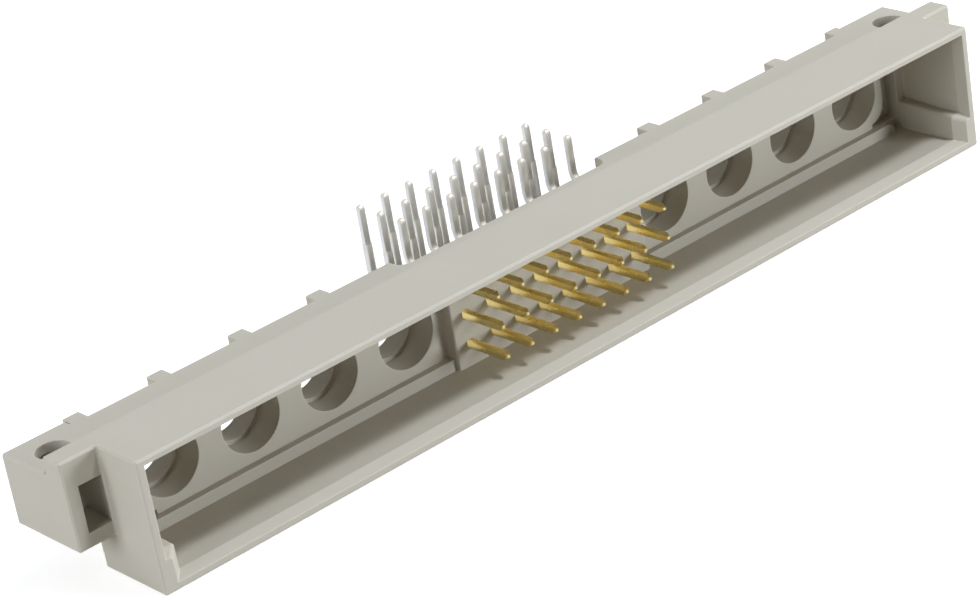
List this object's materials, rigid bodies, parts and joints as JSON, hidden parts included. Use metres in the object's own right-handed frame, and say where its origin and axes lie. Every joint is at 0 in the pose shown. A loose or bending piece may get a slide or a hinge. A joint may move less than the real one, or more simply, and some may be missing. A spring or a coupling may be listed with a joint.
{
  "type": "backplane connector",
  "caption": "Right-angle board connector: a long moulded shroud with screw ears, a central block of pins and round cavities for special contacts beside it.",
  "frame": {"origin": "midway between the two screw holes, on the face that the board lies on", "axes": "+X along the connector, -Y out of the mating side, +Z out of the board side, the way the solder tails point"},
  "size_m": [0.094, 0.0175, 0.0121],
  "materials": {
    "housing": "moulded glass-filled plastic, warm light grey, fine matt skin",
    "contact": "copper alloy wire, gold plated at the mating pin and tin plated at the solder tail"
  },
  "bodies": {
    "root": {"housing": "housing", "contact_a1": "contact", "contact_a2": "contact", "contact_a3": "contact", "contact_a4": "contact", "contact_a5": "contact", "contact_a6": "contact", "contact_a7": "contact", "contact_a8": "contact", "contact_b1": "contact", "contact_b2": "contact", "contact_b3": "contact", "contact_b4": "contact", "contact_b5": "contact", "contact_b6": "contact", "contact_b7": "contact", "contact_b8": "contact", "contact_c1": "contact", "contact_c2": "contact", "contact_c3": "contact", "contact_c4": "contact", "contact_c5": "contact", "contact_c6": "contact", "contact_c7": "contact", "contact_c8": "contact"}
  },
  "joints": []
}
